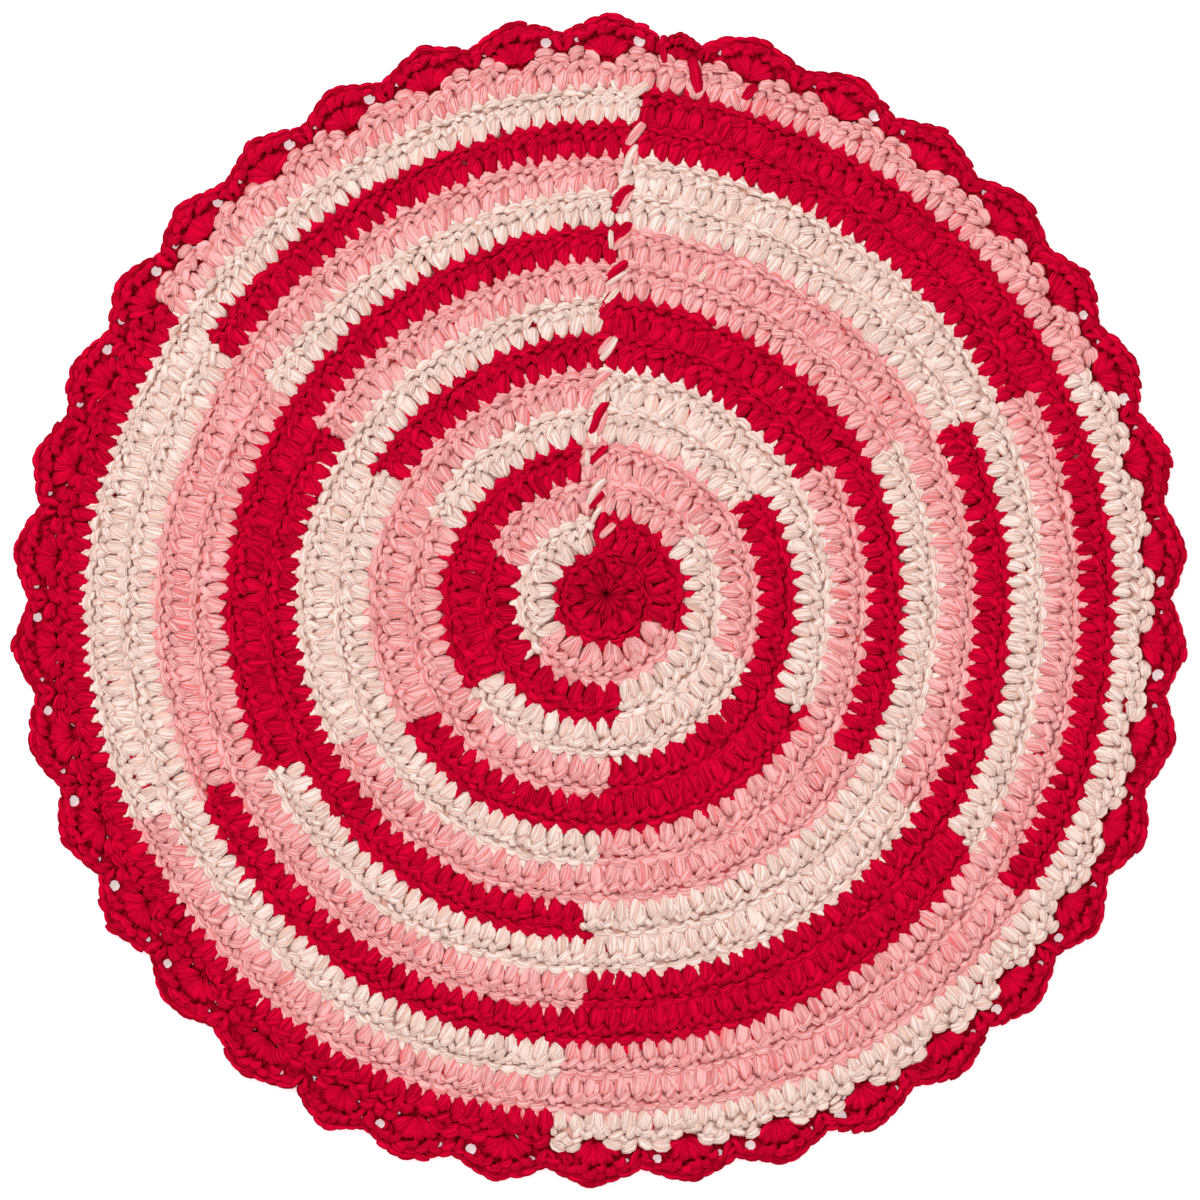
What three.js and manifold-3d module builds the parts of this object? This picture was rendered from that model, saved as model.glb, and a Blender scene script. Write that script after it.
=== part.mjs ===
// Crochet placemat: a round mat worked in sixteen rounds, with a scalloped edging round its rim.
// Sizes are in millimetres and +Z is up. The mat lies flat, its underside on z = 0.
// Directions are in degrees, clockwise from +Y as seen from above.
import * as THREE from 'three';
import { ParametricGeometry } from 'three/addons/geometries/ParametricGeometry.js';
import * as BufferGeometryUtils from 'three/addons/utils/BufferGeometryUtils.js';
import Module from 'manifold-3d';

const wasm = await Module();
wasm.setup();

// Driving dimensions of the rounds
const RING_ROUNDS = 2;                // the two short rounds worked into the starting ring
const RING_ROUND_HEIGHT = 7.75;
const TALL_ROUNDS = 14;               // the rounds of tall stitches that follow them
const TALL_ROUND_FIRST = 12.0;        // height of the first of them, across the round
const TALL_ROUND_LAST = 11.1;         // the work tightens a little towards the rim
const START_RING_RADIUS = 1.6;        // the dimple where the starting ring is drawn shut
const START_RING_HEIGHT = 4.2;

// Section across one round: how far across it lies, and how high the stitches stand there
const MAT_THICKNESS = 6.1;
const ROUND_SECTION = [
  { across: 0.06, height: 4.7 },              // groove where the stitches enter the round before
  { across: 0.36, height: 5.9 },              // plump loops
  { across: 0.82, height: MAT_THICKNESS },    // chain along the top of the round
];

// Driving dimensions of the edging, as radii from the middle of the mat
const TIP_RADIUS = 190;
const VALLEY_RADIUS = 182.9;
const SCALLOP_SHARPNESS = 0.8;        // below 1 the flanks are full, at 1 they run straight to the tip
const HOLE_RADIUS = 182.3;            // outer corner of the small holes beside each scallop
const SEAM_AT_SCALLOP = 175.2;        // where the scallop's fan enters the last round
const SEAM_AT_HOLE = 178.8;           // where the last round bulges out between the fans
const SEAM_AT_ANCHOR = 177.2;         // where the short stitch between two scallops enters it
const SEAM_CLEARANCE = 0.45;          // left between the mat and its edging
const EDGE_THICKNESS = 3.2;
const EDGE_ROUNDING = 0.7;
const CREST_PLACE = 0.45;             // where across the edging it stands highest

// The scallops are worked clockwise from the first one, in runs of nearly even spacing
const FIRST_SCALLOP = 16;
const SCALLOP_RUNS = [
  { count: 3, pitch: 10.3 },
  { count: 16, pitch: 9.55 },
  { count: 1, pitch: 8.0 },
  { count: 16, pitch: 9.58125 },
];
const JOIN_RISE = 0.35;               // the joining scallop's height, as a share of a full one

// Stations across one scallop: place in its width, what meets the mat, top height and hole
const SCALLOP_STATIONS = [
  { place: -0.5, seam: 'anchor', crest: 4.6, hole: false },
  { place: -0.41, seam: 'anchor', crest: 4.2, hole: false },
  { place: -0.31, seam: 'hole', crest: 3.9, hole: true },
  { place: -0.2, seam: 'hole', crest: 5.2, hole: false },
  { place: -0.1, seam: 'scallop', crest: 4.9, hole: false },
  { place: 0.0, seam: 'scallop', crest: 5.6, hole: false },
  { place: 0.1, seam: 'scallop', crest: 4.9, hole: false },
  { place: 0.2, seam: 'hole', crest: 5.2, hole: false },
  { place: 0.31, seam: 'hole', crest: 3.9, hole: true },
  { place: 0.41, seam: 'anchor', crest: 4.2, hole: false },
];

// How far the rim stands out or in, each thirtieth degree from +Y, in millimetres
const RIM_STEP = 30;
const RIM_OFFSETS = [-0.3, -1.6, 0, 0.3, 2.9, 2.9, -0.3, 2.6, 0.6, 0.3, -3.2, -3.6];

// The first rounds lie a little off the middle, and the later ones come back to it
const DRIFT = new THREE.Vector2(2.3, 1.9);
const DRIFT_REACH = 45;

// Steps round the ribbed disc, and how far it and its cutter overshoot the mat
const DISC_SEGMENTS = 64;
const DISC_OVERSHOOT = 12;
const CUTTER_OVERSHOOT = 5;

const MAT_COLOUR = 0xf2a3a6;
const EDGING_COLOUR = 0xcc0a35;
const COTTON_ROUGHNESS = 0.9;

// Smooth rim offset at a direction, from the table of offsets
function rimOffset(direction) {
  const turns = ((direction % 360) + 360) % 360;
  const index = Math.floor(turns / RIM_STEP);
  const share = turns / RIM_STEP - index;
  const blend = share * share * (3 - 2 * share);
  const here = RIM_OFFSETS[index];
  const next = RIM_OFFSETS[(index + 1) % RIM_OFFSETS.length];
  return here + (next - here) * blend;
}

// Point on the mat for a direction and an even radius, moved as the real mat lies
function placed(direction, radius, height) {
  const angle = THREE.MathUtils.degToRad(direction);
  const reach = radius * (1 + rimOffset(direction) / TIP_RADIUS);
  const drift = Math.max(0, 1 - radius / DRIFT_REACH) ** 2;
  const x = reach * Math.sin(angle) + DRIFT.x * drift;
  const y = reach * Math.cos(angle) + DRIFT.y * drift;
  return new THREE.Vector3(x, y, height);
}

// Outer radius of the tall rounds, from the inmost out
function roundEdges() {
  const edges = [];
  let radius = 0;
  for (let index = 0; index < RING_ROUNDS; index += 1) {
    radius += RING_ROUND_HEIGHT;
    edges.push(radius);
  }
  for (let index = 0; index < TALL_ROUNDS; index += 1) {
    const share = index / (TALL_ROUNDS - 1);
    radius += THREE.MathUtils.lerp(TALL_ROUND_FIRST, TALL_ROUND_LAST, share);
    edges.push(radius);
  }
  return edges;
}

// Middle direction and width of each scallop, and of the small one that joins the round
function scallops() {
  const list = [{ middle: FIRST_SCALLOP, width: 0, rise: 1 }];
  let middle = FIRST_SCALLOP;
  for (const run of SCALLOP_RUNS) {
    for (let index = 0; index < run.count; index += 1) {
      middle += run.pitch;
      list.push({ middle, width: run.pitch, rise: 1 });
    }
  }
  list[0].width = list[1].width;
  const last = list[list.length - 1];
  const joinStart = last.middle + last.width / 2;
  const joinEnd = FIRST_SCALLOP + 360 - list[0].width / 2;
  list.push({ middle: (joinStart + joinEnd) / 2, width: joinEnd - joinStart, rise: JOIN_RISE });
  return list;
}

const SEAM_RADII = { scallop: SEAM_AT_SCALLOP, hole: SEAM_AT_HOLE, anchor: SEAM_AT_ANCHOR };

// Outer edge of the edging at a place in a scallop, from the valley up to the tip
function outerRadius(place, rise) {
  const climb = (1 - Math.abs(2 * place)) ** SCALLOP_SHARPNESS;
  return VALLEY_RADIUS + (TIP_RADIUS - VALLEY_RADIUS) * climb * rise;
}

// Every station round the rim, clockwise, with its direction and radii
function rimStations() {
  const stations = [];
  for (const scallop of scallops()) {
    for (const row of SCALLOP_STATIONS) {
      const seam = THREE.MathUtils.lerp(SEAM_AT_ANCHOR, SEAM_RADII[row.seam], scallop.rise);
      stations.push({
        direction: scallop.middle + row.place * scallop.width,
        seam,
        outer: outerRadius(row.place, scallop.rise),
        inner: row.hole && scallop.rise === 1 ? HOLE_RADIUS : seam + SEAM_CLEARANCE,
        crest: row.crest,
      });
    }
  }
  return stations;
}

// Merged copy of a geometry with the faces that collapse at a pole left out
function mergedGeometry(source) {
  const bare = source.index ? source.toNonIndexed() : source.clone();
  bare.deleteAttribute('normal');
  bare.deleteAttribute('uv');
  const merged = BufferGeometryUtils.mergeVertices(bare, 1e-4);
  const index = merged.index.array;
  const kept = [];
  for (let corner = 0; corner < index.length; corner += 3) {
    const [a, b, c] = [index[corner], index[corner + 1], index[corner + 2]];
    if (a !== b && b !== c && c !== a) {
      kept.push(a, b, c);
    }
  }
  merged.setIndex(kept);
  return merged;
}

// Closed geometry as a solid that can be joined and cut
function solidOf(geometry) {
  const merged = mergedGeometry(geometry);
  return new wasm.Manifold(new wasm.Mesh({
    numProp: 3,
    vertProperties: new Float32Array(merged.attributes.position.array),
    triVerts: new Uint32Array(merged.index.array),
  }));
}

// Solid back as a geometry with flat faces
function geometryOf(solid) {
  const mesh = solid.getMesh();
  const geometry = new THREE.BufferGeometry();
  geometry.setAttribute('position', new THREE.BufferAttribute(mesh.vertProperties, 3));
  geometry.setIndex(new THREE.BufferAttribute(mesh.triVerts, 1));
  const flat = geometry.toNonIndexed();
  flat.computeVertexNormals();
  return flat;
}

// Ribbed disc of the rounds, a little larger than the mat, before its rim is cut
function ribbedDisc() {
  const edges = roundEdges();
  const profile = [new THREE.Vector2(0, 0)];
  const rim = edges[edges.length - 1] + DISC_OVERSHOOT;
  profile.push(new THREE.Vector2(rim, 0));
  profile.push(new THREE.Vector2(rim, ROUND_SECTION[0].height));
  const top = [new THREE.Vector2(0, START_RING_HEIGHT)];
  edges.forEach((edge, index) => {
    const start = index === 0 ? START_RING_RADIUS : edges[index - 1];
    for (const row of ROUND_SECTION) {
      top.push(new THREE.Vector2(THREE.MathUtils.lerp(start, edge, row.across), row.height));
    }
  });
  profile.push(...top.reverse());
  const disc = new THREE.LatheGeometry(profile, DISC_SEGMENTS);
  disc.rotateX(Math.PI / 2);
  const points = disc.attributes.position;
  for (let index = 0; index < points.count; index += 1) {
    const x = points.getX(index);
    const y = points.getY(index);
    const direction = THREE.MathUtils.radToDeg(Math.atan2(x, y));
    const moved = placed(direction, Math.hypot(x, y), points.getZ(index));
    points.setXYZ(index, moved.x, moved.y, moved.z);
  }
  return disc;
}

// The mat: sixteen rounds in one flat piece, its rim drawn in where the edging enters it
function matBody(stations) {
  const outline = stations.map((row) => {
    const point = placed(row.direction, row.seam, 0);
    return new THREE.Vector2(point.x, point.y);
  });
  const depth = MAT_THICKNESS + 2 * CUTTER_OVERSHOOT;
  const shape = new THREE.Shape(outline.reverse());
  const cutter = new THREE.ExtrudeGeometry(shape, { depth, bevelEnabled: false });
  cutter.translate(0, 0, -CUTTER_OVERSHOOT);
  return geometryOf(solidOf(ribbedDisc()).intersect(solidOf(cutter)));
}

// Corners of the edging's section at one station, from the underside at the mat round to the rim
function edgingSection(row) {
  return [
    { radius: row.inner, height: 0 },
    { radius: row.inner, height: row.crest - EDGE_ROUNDING },
    { radius: THREE.MathUtils.lerp(row.inner, row.outer, CREST_PLACE), height: row.crest },
    { radius: row.outer, height: EDGE_THICKNESS },
    { radius: row.outer - EDGE_ROUNDING, height: 0 },
  ];
}

// The edging: a ring of fans and short stitches whose section changes round the rim
function scallopEdging(stations) {
  const sections = stations.map(edgingSection);
  const corners = sections[0].length;
  const surface = (around, across, target) => {
    const station = Math.round(around * stations.length) % stations.length;
    const corner = sections[station][Math.round(across * corners) % corners];
    target.copy(placed(stations[station].direction, corner.radius, corner.height));
  };
  const ring = new ParametricGeometry(surface, stations.length, corners);
  const merged = mergedGeometry(ring).toNonIndexed();
  merged.computeVertexNormals();
  return merged;
}

// Named piece of matte cotton in one colour
function piece(name, geometry, colour) {
  const material = new THREE.MeshStandardMaterial({
    color: colour,
    roughness: COTTON_ROUGHNESS,
    metalness: 0,
  });
  const mesh = new THREE.Mesh(geometry, material);
  mesh.name = name;
  return mesh;
}

const stations = rimStations();
const placemat = new THREE.Group();
placemat.add(piece('mat_body', matBody(stations), MAT_COLOUR));
placemat.add(piece('scallop_edging', scallopEdging(stations), EDGING_COLOUR));

// The origin goes under the middle of the whole outline
const outlineBox = new THREE.Box3().setFromObject(placemat);
const middle = outlineBox.getCenter(new THREE.Vector3());
placemat.position.set(-middle.x, -middle.y, 0);

export default placemat;
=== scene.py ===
"""Crochet placemat: sixteen rounds of cotton stitches with a scalloped edging, lying flat.

Directions are in degrees, clockwise from +Y as seen from above. Radii, heights and the sizes of
loops are in millimetres.
"""

import logging
import math
from collections.abc import Iterable
from dataclasses import dataclass, field, replace
from enum import Enum
from functools import cached_property

import bmesh
import bpy
import numpy as np
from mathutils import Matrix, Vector


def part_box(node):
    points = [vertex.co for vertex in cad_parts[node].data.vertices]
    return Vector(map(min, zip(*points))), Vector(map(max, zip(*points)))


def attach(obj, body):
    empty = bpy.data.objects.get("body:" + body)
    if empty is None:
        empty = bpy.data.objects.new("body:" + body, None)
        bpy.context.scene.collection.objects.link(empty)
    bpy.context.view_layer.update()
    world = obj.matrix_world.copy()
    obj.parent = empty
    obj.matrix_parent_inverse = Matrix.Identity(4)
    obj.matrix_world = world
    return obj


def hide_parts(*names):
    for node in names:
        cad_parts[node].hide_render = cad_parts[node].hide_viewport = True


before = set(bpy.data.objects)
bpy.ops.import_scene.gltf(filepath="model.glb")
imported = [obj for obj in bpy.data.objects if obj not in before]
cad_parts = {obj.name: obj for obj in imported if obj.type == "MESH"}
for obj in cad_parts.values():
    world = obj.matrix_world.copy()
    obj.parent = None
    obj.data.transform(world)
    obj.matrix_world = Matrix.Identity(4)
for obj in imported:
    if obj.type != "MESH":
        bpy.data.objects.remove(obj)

LOG = logging.getLogger("placemat")
MM = 0.001
FULL_TURN = 360.0
TINY = 1e-6
TIP_RADIUS = 190.0
RING_ROUNDS = 2


def wrapped(turn: float | np.ndarray) -> float | np.ndarray:
    """The same turn, taken the short way round."""
    return (turn + FULL_TURN / 2) % FULL_TURN - FULL_TURN / 2


def direction_of(spot: Vector) -> float:
    """Direction in which a spot lies from the middle."""
    return math.degrees(math.atan2(spot.x, spot.y))


def placed(name: str, data: bpy.types.ID) -> bpy.types.Object:
    """Puts an object into the scene.

    Args:
        name: Name of the object.
        data: Its mesh, light or camera.

    Returns:
        The object.
    """
    made = bpy.data.objects.new(name, data)
    bpy.context.scene.collection.objects.link(made)
    return made


def finished(
    name: str, work: bmesh.types.BMesh, materials: Iterable[bpy.types.Material]
) -> bpy.types.Object:
    """Turns modelled work into an object of the scene.

    Args:
        name: Name of the object.
        work: The work, which is freed.
        materials: Its materials.

    Returns:
        The object.
    """
    mesh = bpy.data.meshes.new(name)
    work.to_mesh(mesh)
    work.free()
    for material in materials:
        mesh.materials.append(material)
    return placed(name, mesh)


class Yarn(Enum):
    """The three yarns of the mat, by their place in the stripe order."""

    RED = 0
    PINK = 1
    CREAM = 2


@dataclass(frozen=True)
class Graph:
    """The nodes of one material, with short ways to add the kinds that cotton needs."""

    tree: bpy.types.NodeTree

    def feed(self, node: bpy.types.Node, inputs: dict) -> None:
        """Gives inputs their values, or links them where the value is a socket.

        Args:
            node: The node.
            inputs: Values and sockets, by the names or numbers of the inputs.
        """
        for name, value in inputs.items():
            if isinstance(value, bpy.types.NodeSocket):
                self.tree.links.new(value, node.inputs[name])
            else:
                node.inputs[name].default_value = value

    def add(self, kind: str, inputs: dict | None = None, **settings) -> bpy.types.NodeOutputs:
        """Adds one node.

        Args:
            kind: Type of the node.
            inputs: Values and sockets for its inputs.
            settings: Its other settings.

        Returns:
            Its outputs.
        """
        node = self.tree.nodes.new(f"ShaderNode{kind}")
        for name, value in settings.items():
            setattr(node, name, value)
        self.feed(node, inputs or {})
        return node.outputs

    def calc(self, step: str, *values) -> bpy.types.NodeSocket:
        """Result of one step of arithmetic on sockets and numbers."""
        return self.add("Math", dict(enumerate(values)), operation=step)["Value"]

    def noise(self, spot: bpy.types.NodeSocket, scale: float, detail: float) -> bpy.types.NodeSocket:
        """Noise at a spot."""
        return self.add("TexNoise", {"Vector": spot, "Scale": scale, "Detail": detail})["Fac"]

    def ramp(self, value: bpy.types.NodeSocket, low: float, high: float) -> bpy.types.NodeSocket:
        """How far a value lies from low, which gives 0, to high, which gives 1."""
        return self.add("MapRange", {"Value": value, "From Min": low, "From Max": high})["Result"]


@dataclass(frozen=True)
class CottonFinish:
    """Soft matte cotton, with the fine strands of the yarn running along each loop.

    Attributes:
        name: Name of the material.
        lit: Linear colour of the fibres that face the light, the lit copy of the yarn's colour.
        shade_colour: Linear colour of painted shade, for the fibres low down between the loops.
        strand_edges: Noise between two strands, and noise on a strand.
        strand_share: How much brighter a strand is than the gaps beside it, whose darker colour is
            partly strand pattern and partly painted shade.
        shade: How far the colour leans to the painted shade before strands, height and tone brighten
            it.
        low: Height in metres where the painted shade from height is darkest.
        high: Height in metres above which height adds no painted shade.
    """

    name: str
    lit: tuple[float, float, float]
    shade_colour: tuple[float, float, float]
    roughness: float = 0.9
    gloss: float = 0.02
    sheen: float = 0.05
    sheen_roughness: float = 0.5
    twist: float = 1.5
    strand_scale: float = 1.15
    strand_stretch: float = 0.9
    strand_edges: tuple[float, float] = (0.34, 0.54)
    strand_depth: float = 0.0004
    strand_share: float = 1.5
    tone_step: float = 60.0
    fuzz_scale: float = 2600.0
    fuzz_share: float = 0.2
    mottle_scale: float = 160.0
    mottle_share: float = 0.3
    shade: float = -0.9
    low: float = 0.0030
    high: float = 0.0058

    def material(self) -> bpy.types.Material:
        """Builds the material, or gives it back if it is there already.

        Returns:
            The node material of this yarn.
        """
        made = bpy.data.materials.get(self.name)
        if made is not None:
            return made
        made = bpy.data.materials.new(self.name)
        made.use_nodes = True
        graph = Graph(made.node_tree)
        place = graph.add("TexCoord")["Object"]
        # The tone attribute holds each loop's random tone plus the painted light of its piece.
        tone = graph.add("Attribute", attribute_name="tone")["Fac"]
        fuzz = graph.noise(place, self.fuzz_scale, 0.0)
        mottle = graph.noise(place, self.mottle_scale, 1.0)
        streak = self._streaks(graph, tone)
        relief = graph.calc("MULTIPLY_ADD", fuzz, self.fuzz_share, streak)
        bump = graph.add("Bump", {"Strength": 1.0, "Distance": self.strand_depth, "Height": relief})
        uneven = graph.calc("MULTIPLY_ADD", mottle, self.mottle_share, -self.mottle_share / 2)
        uneven = graph.calc("ADD", uneven, tone)
        graph.feed(made.node_tree.nodes["Principled BSDF"], {
            "Base Color": self._colour(graph, place, streak, uneven),
            "Normal": bump["Normal"],
            "Roughness": self.roughness,
            "Specular IOR Level": self.gloss,
            "Sheen Weight": self.sheen,
            "Sheen Roughness": self.sheen_roughness,
            "Sheen Tint": (*self.lit, 1.0),
        })
        return made

    def _streaks(self, graph: Graph, tone: bpy.types.NodeSocket) -> bpy.types.NodeSocket:
        """Uneven strands that run along the loop with a slight twist.

        Args:
            graph: Nodes of the material.
            tone: The loop's own tone, which sets its strands apart from the next loop's.

        Returns:
            Socket that is high on a strand and low between strands.
        """
        split = graph.add("SeparateXYZ", {"Vector": graph.add("UVMap", uv_map="yarn")["UV"]})
        spot = graph.add("CombineXYZ", {
            "X": graph.calc("MULTIPLY_ADD", split["Y"], self.twist, split["X"]),
            "Y": graph.calc("MULTIPLY", split["Y"], self.strand_stretch),
            "Z": graph.calc("MULTIPLY", tone, self.tone_step),
        })["Vector"]
        return graph.ramp(graph.noise(spot, self.strand_scale, 1.0), *self.strand_edges)

    def _colour(
        self,
        graph: Graph,
        place: bpy.types.NodeSocket,
        ridge: bpy.types.NodeSocket,
        uneven: bpy.types.NodeSocket,
    ) -> bpy.types.NodeSocket:
        """Colour of the yarn: painted shade low down, gaps between strands partly painted shade, and a
        little uneven.

        Args:
            graph: Nodes of the material.
            place: Object coordinates of the piece.
            ridge: Socket that is high on a strand and low between strands.
            uneven: Socket that makes some spots and loops lighter or deeper.

        Returns:
            The colour socket.
        """
        # Painted shade: the colour fades to the shade colour low down between the loops, and the gaps
        # between strands lean to it too.
        height = graph.add("SeparateXYZ", {"Vector": place})["Z"]
        share = graph.calc("MULTIPLY_ADD", ridge, self.strand_share, self.shade)
        share = graph.calc("ADD", share, graph.ramp(height, self.low, self.high))
        share = graph.calc("ADD", share, uneven)
        inputs = {"Factor": share, "A": (*self.shade_colour, 1.0), "B": (*self.lit, 1.0)}
        return graph.add("Mix", inputs, data_type="RGBA", clamp_factor=True)["Result"]


# Each yarn has a lit colour and a painted shade colour for the fibres low down and between strands.
FINISHES = {
    Yarn.RED: CottonFinish("red_cotton", lit=(0.68, 0.0008, 0.034), shade_colour=(0.33, 0.0002, 0.012)),
    Yarn.PINK: CottonFinish("pink_cotton", lit=(0.99, 0.47, 0.455), shade_colour=(0.99, 0.165, 0.17)),
    Yarn.CREAM: CottonFinish("cream_cotton", lit=(0.985, 0.745, 0.665), shade_colour=(0.99, 0.55, 0.43)),
}


@dataclass
class Lay:
    """How the mat lies: its uneven outline and the first rounds a little off the middle.

    Attributes:
        rim_offsets: How far the rim lies outside its even circle, once each rim_step degrees.
        drift: How far the middle of the work lies off the middle of the outline.
        drift_reach: Radius from which the rounds lie true.
        shift: From the middle of the outline to the middle of the frame.
    """

    rim_step: float = 30.0
    rim_offsets: tuple[float, ...] = (-0.3, -1.6, 0, 0.3, 2.9, 2.9, -0.3, 2.6, 0.6, 0.3, -3.2, -3.6)
    drift: tuple[float, float] = (2.3, 1.9)
    drift_reach: float = 45.0
    shift: tuple[float, float] = (0.0, 0.0)

    def rim_offset(self, direction: np.ndarray) -> np.ndarray:
        """Smooth offset of the rim.

        Args:
            direction: Directions round the mat.

        Returns:
            The offsets there.
        """
        table = np.array(self.rim_offsets)
        turns = np.mod(direction, FULL_TURN) / self.rim_step
        index = np.floor(turns).astype(int)
        share = turns - index
        blend = share * share * (3 - 2 * share)
        here, after = table[index % len(table)], table[(index + 1) % len(table)]
        return here + (after - here) * blend

    def place(self, direction: np.ndarray, radius: np.ndarray, height: np.ndarray) -> np.ndarray:
        """Points of the mat where it lies.

        Args:
            direction: Directions round the mat.
            radius: Radii, as if its rim were even.
            height: Heights.

        Returns:
            Points in metres, with x, y and z along the last axis.
        """
        angle = np.radians(direction)
        reach = radius * (1 + self.rim_offset(direction) / TIP_RADIUS)
        drift = np.maximum(0.0, 1 - radius / self.drift_reach) ** 2
        x = reach * np.sin(angle) + self.drift[0] * drift + self.shift[0]
        y = reach * np.cos(angle) + self.drift[1] * drift + self.shift[1]
        return np.stack([x, y, np.broadcast_to(height, x.shape)], axis=-1) * MM

    def settle(self, low: Vector, high: Vector, tips: np.ndarray) -> None:
        """Moves the mat so that the middle of its outline is the middle of the frame's box.

        Args:
            low: Lowest corner of the edging in the frame, in metres.
            high: Highest corner of it.
            tips: Directions of the scallop tips.
        """
        points = self.place(tips, np.full(tips.shape, TIP_RADIUS), np.zeros(tips.shape))
        middle = (points.min(axis=0) + points.max(axis=0)) / 2
        self.shift = (
            (low.x + high.x) / 2 / MM - middle[0] / MM,
            (low.y + high.y) / 2 / MM - middle[1] / MM,
        )


@dataclass(frozen=True)
class Shape:
    """A small mesh as arrays, ready to be laid out many times."""

    points: np.ndarray
    corners: np.ndarray
    sizes: np.ndarray
    marks: np.ndarray


@dataclass(frozen=True)
class Bead:
    """One bent loop of yarn, drawn for a stitch of the nominal size.

    Attributes:
        path: Start, bend and end of the loop: along the round, outward and up.
        width: Half its width at the start and at the end.
        height: Half its height.
        points: How pointed its start and end are. 1 is round, less is blunter, more is sharper.
        vary: How much its length varies from one to the next.
        square: How full its section is. 2 is round, more is flatter on top.
        strands: How many times the pattern of strands repeats round it.
    """

    path: tuple[tuple[float, float, float], ...]
    width: tuple[float, float]
    height: float
    points: tuple[float, float] = (1.0, 1.0)
    vary: float = 0.04
    square: float = 2.7
    sides: int = 6
    rings: int = 5
    strands: float = 1.0

    def moved(self, along: float, out: float) -> "Bead":
        """The same loop in another place."""
        return replace(self, path=tuple((x + along, y + out, z) for x, y, z in self.path))

    def shape(self) -> Shape:
        """Models the loop from a sphere that is stretched along its path.

        Returns:
            The finished loop as arrays.
        """
        work = bmesh.new()
        layer = work.loops.layers.uv.new("yarn")
        bmesh.ops.create_uvsphere(
            work, u_segments=self.sides, v_segments=self.rings, radius=1.0, calc_uvs=True
        )
        for vert in work.verts:
            vert.co = self._bent(vert.co)
        bmesh.ops.recalc_face_normals(work, faces=work.faces)
        work.verts.index_update()
        loops = [loop for face in work.faces for loop in face.loops]
        made = Shape(
            points=np.array([tuple(vert.co) for vert in work.verts]),
            corners=np.array([loop.vert.index for loop in loops]),
            sizes=np.array([len(face.verts) for face in work.faces]),
            marks=np.array([(loop[layer].uv.x * self.strands, loop[layer].uv.y) for loop in loops]),
        )
        work.free()
        return made

    def _bent(self, point: Vector) -> Vector:
        """Moves a point of the unit sphere, whose z runs along the loop, onto the loop.

        Args:
            point: Point on the unit sphere.

        Returns:
            Its place on the loop.
        """
        share = (1 + point.z) / 2
        start, bend, end = (Vector(corner) for corner in self.path)
        middle = start * (1 - share) ** 2 + bend * (2 * share * (1 - share)) + end * share**2
        heading = ((bend - start) * (1 - share) + (end - bend) * share).normalized()
        side = heading.cross(Vector((0, 0, 1))).normalized()
        up = side.cross(heading)
        ring = math.hypot(point.x, point.y)
        if ring < TINY:
            return middle
        sharp = self.points[0] * (1 - share) + self.points[1] * share
        width = self.width[0] * (1 - share) + self.width[1] * share
        across, above = abs(point.x / ring), abs(point.y / ring)
        spread = ring**sharp / ring / (across**self.square + above**self.square) ** (1 / self.square)
        return middle + side * (point.x * spread * width) + up * (point.y * spread * self.height)


@dataclass
class Heap:
    """Many small loops that become one mesh.

    Attributes:
        name: Name of the piece.
        yarn: Yarn that it is worked in.
        painted_light: Painted light that makes all of its loops brighter.
        layers: Each kind of loop with the points and the tones of its copies.
    """

    name: str
    yarn: Yarn
    painted_light: float = 0.0
    layers: list[tuple[Shape, np.ndarray, np.ndarray]] = field(default_factory=list)

    def add(self, shape: Shape, points: np.ndarray, tone: np.ndarray) -> None:
        """Adds copies of one loop.

        Args:
            shape: The loop.
            points: Points of every copy in metres, as copies by points by three.
            tone: How much lighter or deeper each copy is.
        """
        if len(points):
            # The painted light of the piece is added to each copy's random tone.
            self.layers.append((shape, points, tone + self.painted_light))

    def build(self) -> bpy.types.Object:
        """Joins every copy into one mesh.

        Returns:
            The finished piece, dressed in its yarn.
        """
        parts, start = [], 0
        for shape, places, tone in self.layers:
            count, size = len(places), len(shape.points)
            offsets = start + size * np.arange(count)[:, None]
            parts.append((
                places.reshape(-1, 3),
                (shape.corners[None, :] + offsets).ravel(),
                np.tile(shape.sizes, count),
                np.tile(shape.marks, (count, 1)),
                np.repeat(tone, size),
            ))
            start += size * count
        points, corners, sizes, marks, tones = (np.concatenate(column) for column in zip(*parts))
        mesh = bpy.data.meshes.new(self.name)
        mesh.vertices.add(len(points))
        mesh.vertices.foreach_set("co", points.astype(np.float32).ravel())
        mesh.loops.add(len(corners))
        mesh.loops.foreach_set("vertex_index", corners.astype(np.int32))
        mesh.polygons.add(len(sizes))
        mesh.polygons.foreach_set("loop_start", (np.cumsum(sizes) - sizes).astype(np.int32))
        layer = mesh.uv_layers.new(name="yarn")
        layer.data.foreach_set("uv", marks.astype(np.float32).ravel())
        # Stores random tone plus the piece's painted light.
        tone_layer = mesh.attributes.new("tone", "FLOAT", "POINT")
        tone_layer.data.foreach_set("value", tones.astype(np.float32))
        mesh.polygons.foreach_set("use_smooth", np.ones(len(sizes), dtype=bool))
        mesh.update(calc_edges=True)
        mesh.validate()
        mesh.materials.append(FINISHES[self.yarn].material())
        return placed(self.name, mesh)


def heaps(kind: str, painted_light: float = 0.0) -> dict[Yarn, Heap]:
    """One empty heap of each yarn, named such as loops_red."""
    return {yarn: Heap(f"{kind}_{yarn.name.lower()}", yarn, painted_light) for yarn in Yarn}


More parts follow.
